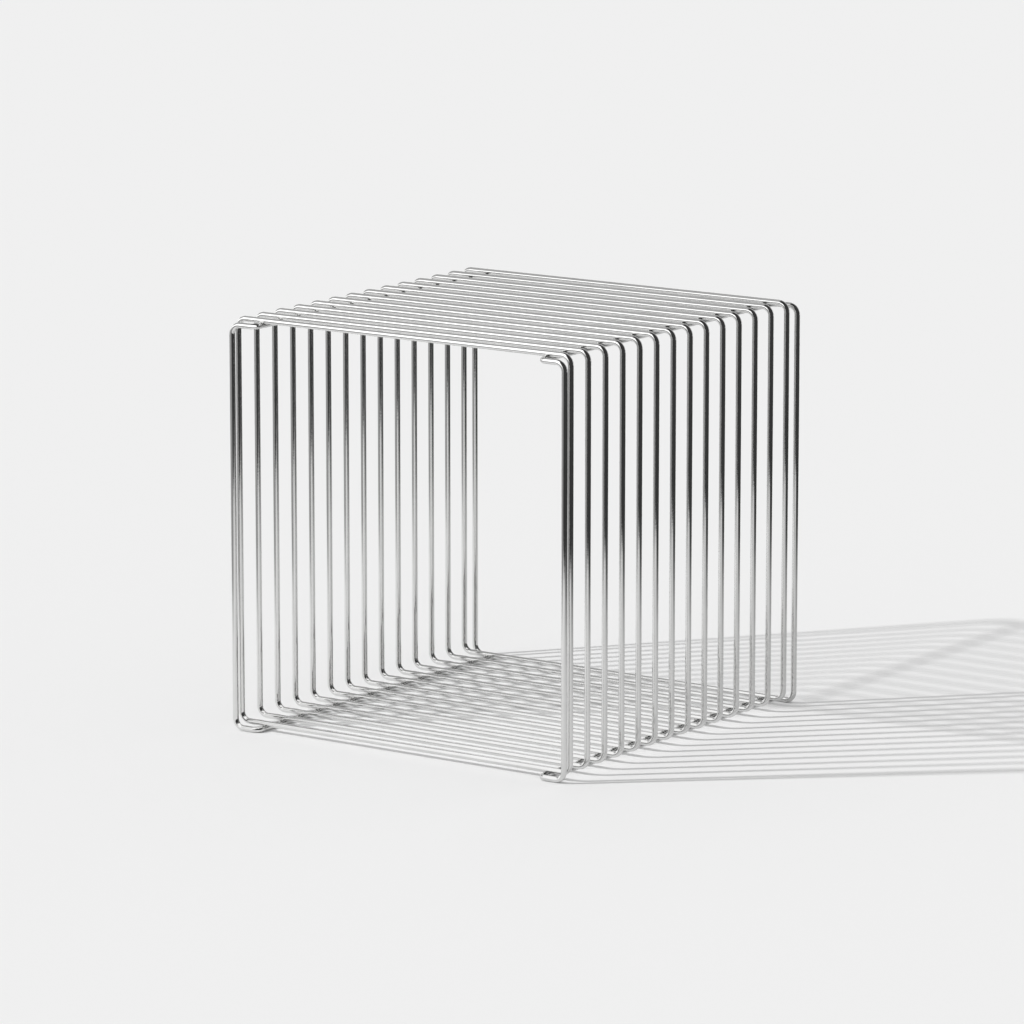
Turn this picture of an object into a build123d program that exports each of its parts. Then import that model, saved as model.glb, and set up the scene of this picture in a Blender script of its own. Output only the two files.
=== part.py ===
"""Open wire cube for storage and display, in chrome-plated steel wire.

Fourteen closed rings of round wire stand in a row, front to back.  Two closed side frames
tie them together.  Each side frame has a front post and a rear post in the plane of that
side, and an upper and a lower rail that run front to back beneath the rings' wires.  Every
crossing of a ring and a rail is resistance welded: the wires sink into each other a little
and a small collar of metal is squeezed out around the seat.

Frame: millimetres, +X to the right, +Y to the rear, +Z up.  The origin is on the floor
under the middle of the cube.
"""
import os

from build123d import *

# Driving dimensions
WIDTH = 345.0          # over the ring wires, left to right
RING_HEIGHT = 354.0    # over one ring, bottom to top
WIRE = 5.0             # wire diameter
RING_COUNT = 14
RING_PITCH = 25.4      # ring to ring, centre to centre
FRONT_GAP = 8.8        # front post to first ring, centre to centre
REAR_GAP = 17.0        # last ring to rear post, centre to centre
BEND = 8.0             # centre-line radius of the rings and of the posts' bends
RAIL_BEND = 5.5        # centre-line radius where a frame turns into its rail
RAIL_INSET = 24.0      # rail centre inboard of the post centre
SET_DOWN = 0.5         # how far two wires sink into each other at a weld
COLLAR_RADIUS = 2.3    # squeezed-out metal around a weld
COLLAR_HEIGHT = 2.0

# Places worked out from them
WIRE_RADIUS = WIRE / 2
SIDE_X = WIDTH / 2 - WIRE_RADIUS
RAIL_X = SIDE_X - RAIL_INSET
CROSSING = WIRE - SET_DOWN
LOW_RAIL_Z = WIRE_RADIUS
RING_LOW_Z = LOW_RAIL_Z + CROSSING
RING_HIGH_Z = RING_LOW_Z + RING_HEIGHT - WIRE
HIGH_RAIL_Z = RING_HIGH_Z - CROSSING
RINGS_DEEP = (RING_COUNT - 1) * RING_PITCH
FRONT_Y = -(FRONT_GAP + RINGS_DEEP + REAR_GAP) / 2
REAR_Y = -FRONT_Y
RING_YS = [FRONT_Y + FRONT_GAP + index * RING_PITCH for index in range(RING_COUNT)]

SIDES = {"left": -1, "right": 1}
LEVELS = {"top": (RING_HIGH_Z, HIGH_RAIL_Z), "bottom": (RING_LOW_Z, LOW_RAIL_Z)}


def wire_along(path):
    """Sweep the round wire along a closed centre line."""
    section = Plane(origin=path @ 0, z_dir=path % 0) * Circle(WIRE_RADIUS)
    return sweep(section, path=path)


def ring(y):
    """One closed ring: an upright rectangle with bent corners at depth y."""
    corners = [
        (-SIDE_X, y, RING_LOW_Z),
        (SIDE_X, y, RING_LOW_Z),
        (SIDE_X, y, RING_HIGH_Z),
        (-SIDE_X, y, RING_HIGH_Z),
    ]
    return wire_along(FilletPolyline(*corners, radius=BEND, close=True))


def ring_wire_at(y, z):
    """The straight of a ring that a rail crosses, as a plain rod along X."""
    rod = Cylinder(WIRE_RADIUS, WIDTH - 2 * BEND - WIRE, rotation=(0, 90, 0))
    return Pos(0, y, z) * rod


def side_frame(side):
    """One closed side frame, its two rails notched where the rings seat on them."""
    post_x = side * SIDE_X
    rail_x = side * RAIL_X
    corners = [
        (post_x, FRONT_Y, LOW_RAIL_Z),
        (post_x, FRONT_Y, HIGH_RAIL_Z),
        (rail_x, FRONT_Y, HIGH_RAIL_Z),
        (rail_x, REAR_Y, HIGH_RAIL_Z),
        (post_x, REAR_Y, HIGH_RAIL_Z),
        (post_x, REAR_Y, LOW_RAIL_Z),
        (rail_x, REAR_Y, LOW_RAIL_Z),
        (rail_x, FRONT_Y, LOW_RAIL_Z),
    ]
    radii = [BEND, BEND, RAIL_BEND, RAIL_BEND, BEND, BEND, RAIL_BEND, RAIL_BEND]
    frame = wire_along(FilletPolyline(*corners, radius=radii, close=True))
    seats = [ring_wire_at(y, ring_z) for ring_z, _ in LEVELS.values() for y in RING_YS]
    return frame - seats


def weld_collars(side, level):
    """The collars squeezed out where one rail is welded to all the rings."""
    ring_z, rail_z = LEVELS[level]
    middle_z = (ring_z + rail_z) / 2
    rail = Pos(side * RAIL_X, 0, rail_z) * Cylinder(WIRE_RADIUS, REAR_Y - FRONT_Y, rotation=(90, 0, 0))
    collars = []
    for y in RING_YS:
        disc = Pos(side * RAIL_X, y, middle_z) * Cylinder(COLLAR_RADIUS, COLLAR_HEIGHT)
        collars += (disc - ring_wire_at(y, ring_z) - rail).solids()
    return Compound(children=collars)


def build():
    """Every piece by name."""
    pieces = {}
    for number, y in enumerate(RING_YS, start=1):
        pieces[f"wire_ring_{number:02d}"] = ring(y)
    for side_name, side in SIDES.items():
        pieces[f"side_frame_{side_name}"] = side_frame(side)
        for level in LEVELS:
            pieces[f"weld_collars_{level}_{side_name}"] = weld_collars(side, level)
    return pieces


if __name__ == "__main__":
    os.makedirs("parts", exist_ok=True)
    for name, piece in build().items():
        export_step(piece, f"parts/{name}.step")
        print(f"{name}: {piece.volume / 1000:.2f} cm3, {len(piece.solids())} solid(s)")
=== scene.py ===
import math

import bpy
from mathutils import Matrix, Vector


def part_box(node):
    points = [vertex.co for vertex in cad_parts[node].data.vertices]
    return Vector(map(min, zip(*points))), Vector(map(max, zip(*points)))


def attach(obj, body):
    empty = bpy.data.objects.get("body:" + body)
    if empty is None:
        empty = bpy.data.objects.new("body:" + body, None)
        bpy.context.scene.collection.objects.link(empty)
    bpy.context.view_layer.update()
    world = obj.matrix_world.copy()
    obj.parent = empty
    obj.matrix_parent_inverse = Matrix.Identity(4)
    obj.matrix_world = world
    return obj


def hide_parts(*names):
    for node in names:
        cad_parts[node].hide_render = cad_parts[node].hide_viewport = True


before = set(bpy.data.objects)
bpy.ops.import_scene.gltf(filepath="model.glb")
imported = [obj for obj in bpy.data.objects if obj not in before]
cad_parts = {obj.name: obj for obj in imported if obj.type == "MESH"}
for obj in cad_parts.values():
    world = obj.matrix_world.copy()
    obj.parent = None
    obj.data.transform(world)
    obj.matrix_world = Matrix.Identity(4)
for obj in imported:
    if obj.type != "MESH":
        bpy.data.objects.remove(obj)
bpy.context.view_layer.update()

# The wire rings.  Fourteen closed hoops of 5 mm drawn steel wire, each bent to an upright
# rectangle with four tight corners, butt-welded shut and dressed flush.  They carry the load
# and are plated with the rest in one bath, so the chrome is bright, thin and almost flawless.

SIDES_ROUND_WIRE = 40
STEPS_PER_BEND = 14
BEND_FLATTENING = 0.03     # a cold bend loses this share of its thickness on the outside
RING_BEND = 0.008          # centre-line radius of a ring's corners

SMUDGE_SCALE = 38.0        # soft patches about 25 mm across, in roughness and tone
SMUDGE_SPREAD = (0.3, 0.7) # the noise from the smoothest patch to the roughest
TONE_SPREAD = (0.35, 0.65) # and from the darkest patch to the brightest
TONE_LOSS = 0.06           # how much darker the plate is in the darkest patch
PEEL_SCALE = 420.0         # the fine ripple of the plate, about 2 mm from crest to crest
PEEL_HEIGHT = 0.0001

ring_names = sorted(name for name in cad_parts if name.startswith("wire_ring_"))
first_low, first_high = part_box(ring_names[0])
WIRE_RADIUS = (first_high.y - first_low.y) / 2


def bend_path(corners, radii):
    """Centre line of a closed wire: points, with how deep in a bend and which way it turns."""
    stations = []
    count = len(corners)
    for index, corner in enumerate(corners):
        before = (corners[index - 1] - corner).normalized()
        after = (corners[(index + 1) % count] - corner).normalized()
        turn = math.pi - before.angle(after)
        setback = radii[index] * math.tan(turn / 2)
        start = corner + before * setback
        inward = (before + after).normalized()
        centre = corner + inward * radii[index] / math.cos(turn / 2)
        arm = start - centre
        axis = arm.cross(-before).normalized()
        for step in range(STEPS_PER_BEND + 1):
            share = step / STEPS_PER_BEND
            swung = Matrix.Rotation(turn * share, 3, axis) @ arm
            depth = math.sin(math.pi * share) ** 0.5
            stations.append((centre + swung, depth, swung.normalized()))
    return stations


def sections_along(stations):
    """Two directions across the wire at every station, carried along without a twist."""
    count = len(stations)
    tangents = []
    for index in range(count):
        ahead = stations[(index + 1) % count][0] - stations[index][0]
        behind = stations[index][0] - stations[index - 1][0]
        tangents.append((ahead.normalized() + behind.normalized()).normalized())
    side = tangents[0].orthogonal().normalized()
    frames = []
    for index in range(count):
        side = (side - tangents[index] * side.dot(tangents[index])).normalized()
        frames.append((side, tangents[index].cross(side)))
    closing = (side - tangents[0] * side.dot(tangents[0])).normalized()
    slip = math.atan2(closing.dot(frames[0][1]), closing.dot(frames[0][0]))
    unwound = []
    for index, (side, up) in enumerate(frames):
        undo = -slip * index / count
        cosine, sine = math.cos(undo), math.sin(undo)
        unwound.append((side * cosine + up * sine, up * cosine - side * sine))
    return unwound


def bent_wire(name, corners, radii):
    """A closed wire of round section, a little flattened on the outside of every bend."""
    stations = bend_path(corners, radii)
    frames = sections_along(stations)
    points = []
    for (centre, depth, outward), (side, up) in zip(stations, frames):
        for turn in range(SIDES_ROUND_WIRE):
            angle = 2 * math.pi * turn / SIDES_ROUND_WIRE
            arm = side * math.cos(angle) + up * math.sin(angle)
            flat = BEND_FLATTENING * depth * max(arm.dot(outward), 0) ** 2
            points.append(centre + arm * WIRE_RADIUS * (1 - flat))
    faces = []
    count = len(stations)
    for row in range(count):
        here, there = row * SIDES_ROUND_WIRE, (row + 1) % count * SIDES_ROUND_WIRE
        for turn in range(SIDES_ROUND_WIRE):
            following = (turn + 1) % SIDES_ROUND_WIRE
            faces.append((here + turn, here + following, there + following, there + turn))
    return smooth_piece(name, points, faces)


def smooth_piece(name, points, faces):
    """A smooth-shaded mesh object in the scene."""
    mesh = bpy.data.meshes.new(name)
    mesh.from_pydata(points, [], faces)
    mesh.polygons.foreach_set("use_smooth", [True] * len(faces))
    mesh.update()
    piece = bpy.data.objects.new(name, mesh)
    bpy.context.scene.collection.objects.link(piece)
    return piece


def plated_finish(name, colour, roughness, ripple):
    """Chrome plate: a mirror with faint ripple, and roughness that wanders a little."""
    material = bpy.data.materials.new(name)
    material.use_nodes = True
    nodes, links = material.node_tree.nodes, material.node_tree.links
    plate = nodes["Principled BSDF"]
    plate.inputs["Metallic"].default_value = 1.0
    place = nodes.new("ShaderNodeTexCoord")

    smudges = nodes.new("ShaderNodeTexNoise")
    smudges.inputs["Scale"].default_value = SMUDGE_SCALE
    smudges.inputs["Detail"].default_value = 4.0
    links.new(place.outputs["Object"], smudges.inputs["Vector"])
    spread = nodes.new("ShaderNodeMapRange")
    spread.inputs["From Min"].default_value = SMUDGE_SPREAD[0]
    spread.inputs["From Max"].default_value = SMUDGE_SPREAD[1]
    spread.inputs["To Min"].default_value = roughness[0]
    spread.inputs["To Max"].default_value = roughness[1]
    links.new(smudges.outputs["Fac"], spread.inputs["Value"])
    links.new(spread.outputs["Result"], plate.inputs["Roughness"])

    tone = nodes.new("ShaderNodeValToRGB")
    dull, bright = tone.color_ramp.elements
    dull.position, bright.position = TONE_SPREAD
    dull.color = [part * (1 - TONE_LOSS) for part in colour] + [1]
    bright.color = list(colour) + [1]
    links.new(smudges.outputs["Fac"], tone.inputs["Fac"])
    links.new(tone.outputs["Color"], plate.inputs["Base Color"])

    peel = nodes.new("ShaderNodeTexNoise")
    peel.inputs["Scale"].default_value = PEEL_SCALE
    peel.inputs["Detail"].default_value = 2.0
    links.new(place.outputs["Object"], peel.inputs["Vector"])
    bump = nodes.new("ShaderNodeBump")
    bump.inputs["Strength"].default_value = ripple
    bump.inputs["Distance"].default_value = PEEL_HEIGHT
    links.new(peel.outputs["Fac"], bump.inputs["Height"])
    links.new(bump.outputs["Normal"], plate.inputs["Normal"])
    return material


chrome = plated_finish(
    "bright_chrome", colour=(0.70, 0.70, 0.695), roughness=(0.03, 0.07), ripple=0.07
)

for name in ring_names:
    low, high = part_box(name)
    middle = (low.y + high.y) / 2
    left, right = low.x + WIRE_RADIUS, high.x - WIRE_RADIUS
    bottom, top = low.z + WIRE_RADIUS, high.z - WIRE_RADIUS
    corners = [
        Vector((left, middle, bottom)),
        Vector((right, middle, bottom)),
        Vector((right, middle, top)),
        Vector((left, middle, top)),
    ]
    ring = bent_wire(name.replace("wire_ring", "ring_wire"), corners, [RING_BEND] * 4)
    ring.data.materials.append(chrome)
    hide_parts(name)
    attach(ring, "root")

# The side frames.  One closed length of the same wire on each side, bent at eight places: a
# front and a rear post in the plane of the side, and two rails inboard of them that pass
# beneath the rings' wires, above and below, and hold every ring.

RAIL_BEND = 0.0055
POST_BEND = 0.008

for side_name, outward in (("left", -1), ("right", 1)):
    low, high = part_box(f"side_frame_{side_name}")
    xs = (low.x + WIRE_RADIUS, high.x - WIRE_RADIUS)
    rail_x, post_x = sorted(xs, key=lambda x: x * outward)
    front, rear = low.y + WIRE_RADIUS, high.y - WIRE_RADIUS
    bottom, top = low.z + WIRE_RADIUS, high.z - WIRE_RADIUS
    corners = [
        Vector((post_x, front, bottom)),
        Vector((post_x, front, top)),
        Vector((rail_x, front, top)),
        Vector((rail_x, rear, top)),
        Vector((post_x, rear, top)),
        Vector((post_x, rear, bottom)),
        Vector((rail_x, rear, bottom)),
        Vector((rail_x, front, bottom)),
    ]
    radii = [POST_BEND, POST_BEND, RAIL_BEND, RAIL_BEND] * 2
    side_wire = bent_wire(f"side_wire_{side_name}", corners, radii)
    side_wire.data.materials.append(chrome)
    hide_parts(f"side_frame_{side_name}")
    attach(side_wire, "root")

# The weld collars.  Each ring is resistance-welded to each rail, and the squeeze pushes a
# small uneven collar of steel out of the seat.  It is plated over with the wires, but stays
# duller and a little darker than they are.

COLLAR_STEPS = 28
COLLAR_LEVELS = 5          # sunk in the ring, under it, waist, over the rail, sunk in the rail
COLLAR_RADIUS = 0.00225
COLLAR_WAIST = 0.0019
COLLAR_SINK = 0.0004       # how far the collar's edges run into the two wires
SUNK_SHARE = 0.8           # of the radius, where a collar closes inside a wire
# Each makes a collar uneven: a share of its radius, how many lobes, and their turn per ring.
COLLAR_LOBES = ((0.04, 3, 1.7), (0.03, 5, -2.3))

weld_plate = plated_finish(
    "weld_chrome", colour=(0.42, 0.42, 0.415), roughness=(0.16, 0.30), ripple=0.5
)


def collar_heights(reach, angle, ring_z, rail_z):
    """Where the ring above and the rail below meet an upright line beside the crossing."""
    over = ring_z - math.sqrt(WIRE_RADIUS**2 - (reach * math.sin(angle)) ** 2)
    under = rail_z + math.sqrt(WIRE_RADIUS**2 - (reach * math.cos(angle)) ** 2)
    return over, under


def weld_collars(name, x, ys, ring_z, rail_z):
    """A row of collars, one round each crossing, as one mesh of closed lumps."""
    points, faces = [], []
    for number, y in enumerate(ys):
        first = len(points)
        for level in range(COLLAR_LEVELS):
            for step in range(COLLAR_STEPS):
                angle = 2 * math.pi * step / COLLAR_STEPS
                uneven = 1
                for share, lobes, turn in COLLAR_LOBES:
                    uneven += share * math.sin(lobes * angle + turn * number)
                reach = (COLLAR_WAIST if level == 2 else COLLAR_RADIUS) * uneven
                over, under = collar_heights(reach, angle, ring_z, rail_z)
                waist = (over + under) / 2
                heights = (over + COLLAR_SINK, over, waist, under, under - COLLAR_SINK)
                if level in (0, COLLAR_LEVELS - 1):
                    reach *= SUNK_SHARE
                east, north = reach * math.cos(angle), reach * math.sin(angle)
                points.append((x + east, y + north, heights[level]))
        for level in range(COLLAR_LEVELS - 1):
            here, there = first + level * COLLAR_STEPS, first + (level + 1) * COLLAR_STEPS
            for step in range(COLLAR_STEPS):
                following = (step + 1) % COLLAR_STEPS
                faces.append((here + step, there + step, there + following, here + following))
        last = first + (COLLAR_LEVELS - 1) * COLLAR_STEPS
        faces.append([first + step for step in range(COLLAR_STEPS)])
        faces.append([last + step for step in reversed(range(COLLAR_STEPS))])
    return smooth_piece(name, points, faces)


ring_ys = [(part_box(name)[0].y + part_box(name)[1].y) / 2 for name in ring_names]
ring_z = {"top": first_high.z - WIRE_RADIUS, "bottom": first_low.z + WIRE_RADIUS}
for side_name in ("left", "right"):
    low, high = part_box(f"side_frame_{side_name}")
    rail_z = {"top": high.z - WIRE_RADIUS, "bottom": low.z + WIRE_RADIUS}
    for level in ("top", "bottom"):
        node = f"weld_collars_{level}_{side_name}"
        node_low, node_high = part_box(node)
        rail_x = (node_low.x + node_high.x) / 2
        collars = weld_collars(
            f"welds_{level}_{side_name}", rail_x, ring_ys, ring_z[level], rail_z[level]
        )
        collars.data.materials.append(weld_plate)
        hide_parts(node)
        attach(collars, "root")

# The floor.  A sheet of pale paper that runs far past the view.  In the wire its colour is
# painted:
# a painted pool of light round the cube, a little brighter on the left and in front, and past
# it a grey floor on the left, a dark one on the right and the pale backdrop behind.

FLOOR_COLOUR = 0.87
FLOOR_REACH = 40.0
VIEW_AZIMUTH = math.radians(34.79)     # how far round to the right the camera stands
TOWARDS_LAMP = Vector((-0.707, -0.707, 0))
TOWARDS_RIGHT = Vector((0.93, 0.37, 0))
POOL_LAMP_EDGE = (0.92, 0.50)
POOL_RIGHT_EDGE = (1.00, 0.42)
POOL_VIEW_EDGE = (1.18, 1.00)
POOL_LEVEL = 0.87
POOL_LEANS = Vector((-0.28, -0.22, 0))
PAST_POOL_LEFT = 0.42
PAST_POOL_RIGHT = 0.05
PAST_POOL_TURNS = (0.4, -0.8)          # across the room, from the right's level to the left's
BACKDROP_STARTS = (1.0, 1.8)
PAINTED_LIGHT_UNDER_CUBE = 0.12                   # painted light: how much paler the paper is made under the cube, between the bottom wires
PAINTED_LIGHT_UNDER_CUBE_EDGE = (0.20, 0.14)

across, away, upwards = Vector((1, 0, 0)), Vector((0, 1, 0)), Vector((0, 0, 1))
to_camera = Vector((math.sin(VIEW_AZIMUTH), -math.cos(VIEW_AZIMUTH), 0))


def maths(tree, operation, *values, clamp=False):
    """A Math node; each value is a number or another node's output."""
    node = tree.nodes.new("ShaderNodeMath")
    node.operation = operation
    node.use_clamp = clamp
    for socket, value in zip(node.inputs, values):
        if isinstance(value, (int, float)):
            socket.default_value = value
        else:
            tree.links.new(value, socket)
    return node.outputs[0]


def product(tree, first, *others):
    """The values multiplied together."""
    for other in others:
        first = maths(tree, "MULTIPLY", first, other)
    return first


def blended(tree, share, none, full):
    """The value none where share is 0, the value full where it is 1, and evenly between."""
    return maths(tree, "ADD", product(tree, share, maths(tree, "SUBTRACT", full, none)), none)


def along(tree, vector, direction):
    """How far a vector reaches along a fixed direction."""
    node = tree.nodes.new("ShaderNodeVectorMath")
    node.operation = "DOT_PRODUCT"
    tree.links.new(vector, node.inputs[0])
    node.inputs[1].default_value = direction
    return node.outputs["Value"]


def fade(tree, value, start, end):
    """0 below start, 1 above end, smooth between; with start above end, 1 below and 0 above."""
    node = tree.nodes.new("ShaderNodeMapRange")
    node.interpolation_type = "SMOOTHSTEP"
    node.inputs["From Min"].default_value = min(start, end)
    node.inputs["From Max"].default_value = max(start, end)
    node.inputs["To Min"].default_value = 0.0 if start < end else 1.0
    node.inputs["To Max"].default_value = 1.0 if start < end else 0.0
    tree.links.new(value, node.inputs["Value"])
    return node.outputs["Result"]


def fade_either_way(tree, vector, direction, edge):
    """The same fade on both sides of the middle, along a fixed direction."""
    return fade(tree, maths(tree, "ABSOLUTE", along(tree, vector, direction)), *edge)


floor_mesh = bpy.data.meshes.new("studio_floor")
floor_corners = [
    (-FLOOR_REACH, -FLOOR_REACH, 0),
    (FLOOR_REACH, -FLOOR_REACH, 0),
    (FLOOR_REACH, FLOOR_REACH, 0),
    (-FLOOR_REACH, FLOOR_REACH, 0),
]
floor_mesh.from_pydata(floor_corners, [], [range(4)])
studio_floor = bpy.data.objects.new("studio_floor", floor_mesh)
bpy.context.scene.collection.objects.link(studio_floor)

paper = bpy.data.materials.new("pale_paper")
paper.use_nodes = True
tree = paper.node_tree
tree.nodes.clear()
where = tree.nodes.new("ShaderNodeNewGeometry").outputs["Position"]
# Painted light and reflection: the colour the paper shows in the wire, for glossy rays alone.
pool = product(
    tree,
    fade(tree, along(tree, where, TOWARDS_LAMP), *POOL_LAMP_EDGE),
    fade(tree, along(tree, where, TOWARDS_RIGHT), *POOL_RIGHT_EDGE),
    fade(tree, along(tree, where, to_camera), *POOL_VIEW_EDGE),
)
pool_level = maths(tree, "ADD", along(tree, where, POOL_LEANS), POOL_LEVEL, clamp=True)
on_left = fade(tree, along(tree, where, across), *PAST_POOL_TURNS)
past_level = blended(tree, on_left, PAST_POOL_RIGHT, PAST_POOL_LEFT)
backdrop = fade(tree, along(tree, where, -to_camera), *BACKDROP_STARTS)
past_level = maths(tree, "MAXIMUM", past_level, product(tree, backdrop, FLOOR_COLOUR))
floor_in_wire = blended(tree, pool, past_level, pool_level)
in_wire = tree.nodes.new("ShaderNodeLightPath").outputs["Is Glossy Ray"]
shade = blended(tree, in_wire, FLOOR_COLOUR, floor_in_wire)
# Painted light: the paper under the cube is made paler for every ray, standing in for light the
# chrome throws there.
painted_light_under_cube = product(
    tree,
    fade_either_way(tree, where, across, PAINTED_LIGHT_UNDER_CUBE_EDGE),
    fade_either_way(tree, where, away, PAINTED_LIGHT_UNDER_CUBE_EDGE),
    PAINTED_LIGHT_UNDER_CUBE,
)
shade = maths(tree, "ADD", shade, painted_light_under_cube, clamp=True)
matt = tree.nodes.new("ShaderNodeBsdfDiffuse")
tree.links.new(shade, matt.inputs["Color"])
surface = tree.nodes.new("ShaderNodeOutputMaterial")
tree.links.new(matt.outputs[0], surface.inputs["Surface"])
floor_mesh.materials.append(paper)

# Two glowing panels, no lamps, that only the wire shows: they paint its highlights.  A strip
# stands upright in front of the cube, from its top upwards, and slants away on the left; the
# top wires mirror it.  A glowing sheet called the silk hangs level just under those wires,
# reaches out to the left and front, and the bottom wires mirror it.

STRIP_LEVEL = 2.1
STRIP_LEFT, STRIP_RIGHT = -0.75, 0.18
STRIP_LEFT_Y, STRIP_RIGHT_Y = -0.49, -0.24
STRIP_FOOT = 0.335
STRIP_TOP_LEFT, STRIP_TOP_RIGHT = 0.80, 0.60
STRIP_LEFT_EDGE = 0.12
SILK_LEVEL = 1.3
SILK_LEFT, SILK_RIGHT = -0.95, -0.02
SILK_FRONT, SILK_REAR = -1.2, 0.12
SILK_HEIGHT = 0.33
SILK_FRONT_EDGE, SILK_LEFT_EDGE = 0.2, 0.1
SILK_SLANT = Vector((-0.894, 0.447, 0))    # the silk fades out along this, to the rear left
SILK_SLANT_EDGE = (0.26, 0.10)
PANEL_EDGE = 0.03                          # the width of every other soft edge


def glowing_panel(name, corners, level, edges):
    """A glowing sheet seen from its front alone; edges are (direction, gone, full) triples."""
    mesh = bpy.data.meshes.new(name)
    mesh.from_pydata(corners, [], [range(4)])
    panel = bpy.data.objects.new(name, mesh)
    bpy.context.scene.collection.objects.link(panel)
    panel.visible_camera = False
    panel.visible_diffuse = False
    panel.visible_shadow = False
    panel.visible_transmission = False
    material = bpy.data.materials.new(name)
    material.use_nodes = True
    material.cycles.emission_sampling = "NONE"
    tree = material.node_tree
    tree.nodes.clear()
    geometry = tree.nodes.new("ShaderNodeNewGeometry")
    where = geometry.outputs["Position"]
    shown = maths(tree, "SUBTRACT", 1.0, geometry.outputs["Backfacing"])
    for direction, gone, full in edges:
        shown = product(tree, shown, fade(tree, along(tree, where, direction), gone, full))
    shine = tree.nodes.new("ShaderNodeEmission")
    shine.inputs["Strength"].default_value = level
    clear = tree.nodes.new("ShaderNodeBsdfTransparent")
    mix = tree.nodes.new("ShaderNodeMixShader")
    tree.links.new(shown, mix.inputs["Fac"])
    tree.links.new(clear.outputs[0], mix.inputs[1])
    tree.links.new(shine.outputs[0], mix.inputs[2])
    surface = tree.nodes.new("ShaderNodeOutputMaterial")
    tree.links.new(mix.outputs[0], surface.inputs["Surface"])
    mesh.materials.append(material)


glowing_panel(
    "strip_light",
    [
        (STRIP_LEFT, STRIP_LEFT_Y, STRIP_FOOT),
        (STRIP_LEFT, STRIP_LEFT_Y, STRIP_TOP_LEFT),
        (STRIP_RIGHT, STRIP_RIGHT_Y, STRIP_TOP_RIGHT),
        (STRIP_RIGHT, STRIP_RIGHT_Y, STRIP_FOOT),
    ],
    STRIP_LEVEL,
    [
        (upwards, STRIP_FOOT, STRIP_FOOT + PANEL_EDGE),
        (across, STRIP_LEFT, STRIP_LEFT + STRIP_LEFT_EDGE),
        (across, STRIP_RIGHT, STRIP_RIGHT - PANEL_EDGE),
    ],
)
glowing_panel(
    "silk",
    [
        (SILK_LEFT, SILK_FRONT, SILK_HEIGHT),
        (SILK_LEFT, SILK_REAR, SILK_HEIGHT),
        (SILK_RIGHT, SILK_REAR, SILK_HEIGHT),
        (SILK_RIGHT, SILK_FRONT, SILK_HEIGHT),
    ],
    SILK_LEVEL,
    [
        (away, SILK_FRONT, SILK_FRONT + SILK_FRONT_EDGE),
        (SILK_SLANT, *SILK_SLANT_EDGE),
        (across, SILK_LEFT, SILK_LEFT + SILK_LEFT_EDGE),
        (across, SILK_RIGHT, SILK_RIGHT - PANEL_EDGE),
    ],
)

# The room.  It is plain and pale to the eye, and soft and even as light.  The wire shows a
# painted reflection: a bright wall low on the left, a grey ceiling above it, a grey backdrop
# behind with a foot as pale as the floor, and the dark everywhere else.

LAMP_SHARE = 0.40              # of the floor's light; the rest is this soft room light
ROOM_DARK = 0.05
WALL_LEVEL = 1.25
CEILING_LEVEL = 0.55
BACK_LEVEL = 0.45
WALL_STARTS = (0.15, 0.40)     # the wall and ceiling: how far to the left a direction points
WALL_TOP = (0.42, 0.25)        # how far upwards it points
BACK_STARTS = (0.35, 0.55)     # the backdrop: how far it points away from the camera's side
BACK_FOOT = (0.35, 0.15)       # how far upwards

world = bpy.data.worlds.new("studio")
bpy.context.scene.world = world
world.use_nodes = True
tree = world.node_tree
tree.nodes.clear()
direction = tree.nodes.new("ShaderNodeTexCoord").outputs["Generated"]
# Painted reflection: what the wire shows of the room, for glossy rays alone.
leftwards = fade(tree, along(tree, direction, -across), *WALL_STARTS)
backwards = fade(tree, along(tree, direction, -to_camera), *BACK_STARTS)
height = along(tree, direction, upwards)
wall = product(tree, leftwards, fade(tree, height, *WALL_TOP), WALL_LEVEL)
ceiling = product(tree, leftwards, fade(tree, height, *reversed(WALL_TOP)), CEILING_LEVEL)
in_front = maths(tree, "ADD", wall, ceiling)
foot = product(tree, fade(tree, height, *BACK_FOOT), FLOOR_COLOUR)
behind = maths(tree, "MAXIMUM", maths(tree, "MAXIMUM", wall, foot), BACK_LEVEL)
room_in_wire = maths(tree, "MAXIMUM", blended(tree, backwards, in_front, behind), ROOM_DARK)

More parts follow.
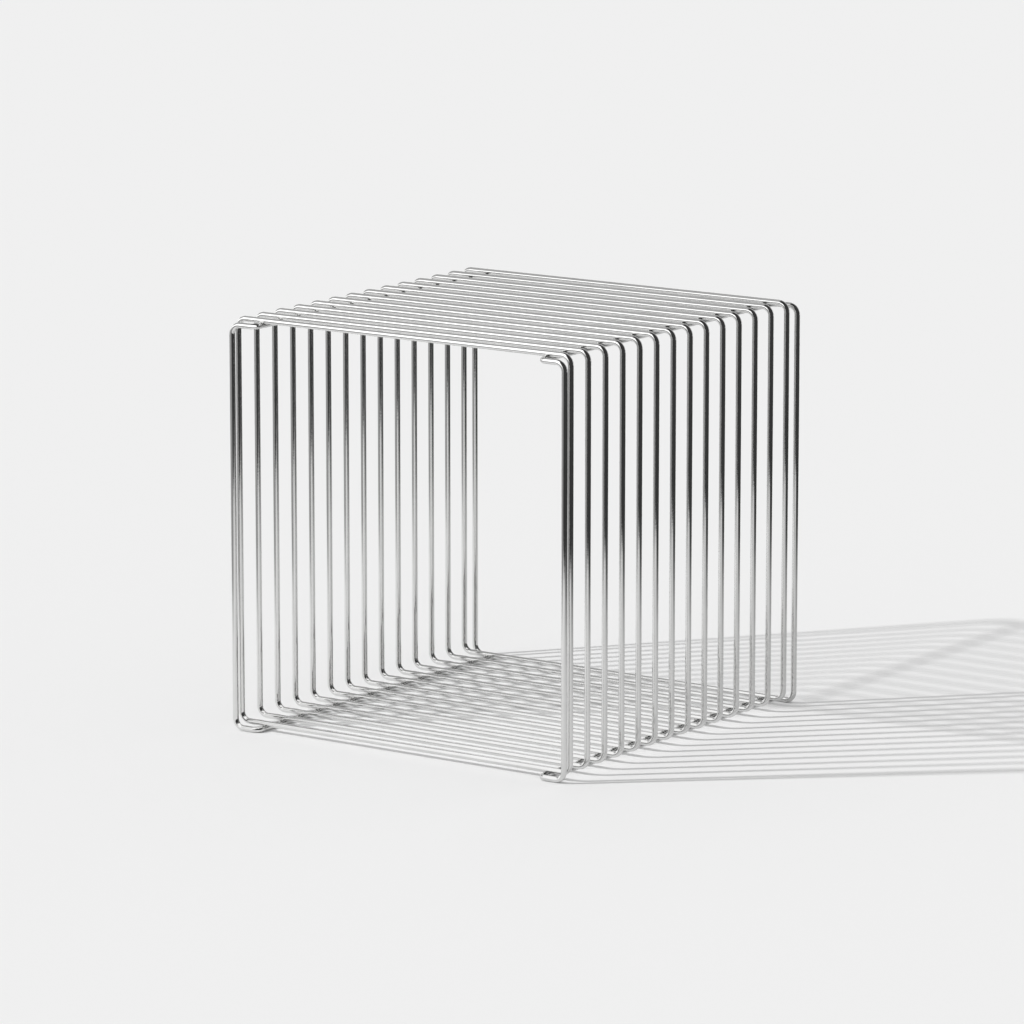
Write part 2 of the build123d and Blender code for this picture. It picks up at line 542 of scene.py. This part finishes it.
rays = tree.nodes.new("ShaderNodeLightPath").outputs
direct = maths(tree, "MAXIMUM", rays["Is Camera Ray"], rays["Is Transmission Ray"])
in_wire = product(tree, rays["Is Glossy Ray"], maths(tree, "SUBTRACT", 1.0, direct))
as_light = maths(tree, "SUBTRACT", 1.0, maths(tree, "ADD", direct, in_wire))
seen = maths(
    tree, "ADD", product(tree, direct, FLOOR_COLOUR), product(tree, in_wire, room_in_wire)
)
strength = maths(tree, "ADD", seen, product(tree, as_light, 1 - LAMP_SHARE))
background = tree.nodes.new("ShaderNodeBackground")
background.inputs["Color"].default_value = (1, 1, 1, 1)
tree.links.new(strength, background.inputs["Strength"])
surface = tree.nodes.new("ShaderNodeOutputWorld")
tree.links.new(background.outputs[0], surface.inputs["Surface"])

# The lamp.  One small hard lamp high in front of the cube on the left.  A point lamp of power
# P gives the floor P * height / (4 * pi**2 * distance**3), and here its strength grows with the
# cube of the distance, so that it lights the whole floor evenly.

LAMP_PLACE = Vector((-1.80, -1.91, 2.17))
LAMP_RADIUS = 0.05

lamp_data = bpy.data.lights.new("hard_lamp", "POINT")
lamp_data.shadow_soft_size = LAMP_RADIUS
lamp_data.energy = LAMP_SHARE * 4 * math.pi**2 / LAMP_PLACE.z
lamp_data.use_nodes = True
tree = lamp_data.node_tree
distance = tree.nodes.new("ShaderNodeLightPath").outputs["Ray Length"]
tree.links.new(maths(tree, "POWER", distance, 3.0), tree.nodes["Emission"].inputs["Strength"])
lamp = bpy.data.objects.new("hard_lamp", lamp_data)
lamp.location = LAMP_PLACE
lamp.visible_glossy = False
bpy.context.scene.collection.objects.link(lamp)

# The camera.  A long lens a few metres away, on the right of the cube's open front and a little
# above it, with everything sharp.

VIEW_ELEVATION = math.radians(11.16)
VIEW_DISTANCE = 4.909
VIEW_AIM = Vector((-0.0040, -0.0025, 0.1802))
LENS = 200.88
SENSOR_WIDTH = 36.0
SEES_AS_FAR_AS = 100.0

camera_data = bpy.data.cameras.new("camera")
camera_data.lens = LENS
camera_data.sensor_width = SENSOR_WIDTH
camera_data.clip_end = SEES_AS_FAR_AS
camera = bpy.data.objects.new("camera", camera_data)
sight = to_camera * math.cos(VIEW_ELEVATION) + upwards * math.sin(VIEW_ELEVATION)
camera.location = VIEW_AIM + sight * VIEW_DISTANCE
camera.rotation_euler = (-sight).to_track_quat("-Z", "Y").to_euler()
bpy.context.scene.collection.objects.link(camera)
bpy.context.scene.camera = camera
bpy.context.scene.view_settings.view_transform = "Standard"
